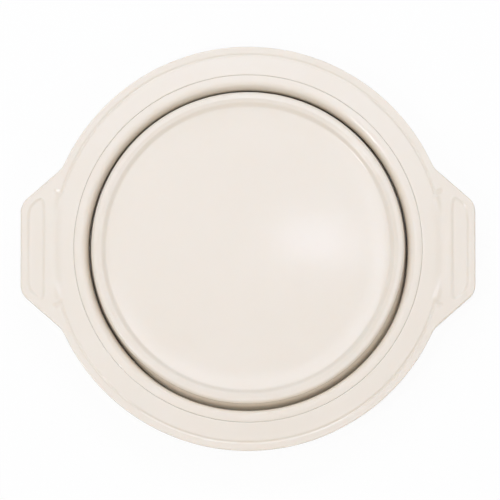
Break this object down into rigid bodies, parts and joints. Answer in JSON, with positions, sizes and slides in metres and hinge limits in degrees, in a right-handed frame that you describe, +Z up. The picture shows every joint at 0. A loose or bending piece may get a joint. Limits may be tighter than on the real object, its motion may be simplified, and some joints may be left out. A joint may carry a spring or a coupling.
{
  "type": "collapsible silicone cake pan",
  "caption": "round silicone baking pan with a stiffened rim and tab handles, whose folding wall lets the base rise level with the rim for storage",
  "frame": {"origin": "centre of the ring that the folded pan rests on, on the surface under it", "axes": "+X along the handles, +Y across them, +Z up along the pan's axis"},
  "size_m": [0.2974, 0.265, 0.0302],
  "materials": {
    "silicone": "glossy moulded ivory",
    "core_steel": "satin"
  },
  "bodies": {
    "lower_wall": {"lower_wall": "silicone"},
    "rim": {"rim_frame": "silicone", "rim_underside": "silicone", "frame_core": "core_steel", "bowl_bead": "silicone", "upper_wall": "silicone", "fold_hinge": "silicone"},
    "base": {"base_floor": "silicone", "base_lip": "silicone", "crest_hinge": "silicone"}
  },
  "joints": [
    {"name": "base_drop", "type": "slide", "parent": "lower_wall", "child": "base", "axis": [0, 0, -1], "range_m": [0, 0.0255], "deforming": ["crest_hinge"]},
    {"name": "rim_rise", "type": "slide", "parent": "lower_wall", "child": "rim", "axis": [0, 0, 1], "range_m": [0, 0.0255], "deforming": ["fold_hinge"]}
  ],
  "couplings": [
    {"joint": "rim_rise", "follows": "base_drop", "ratio": 1}
  ]
}
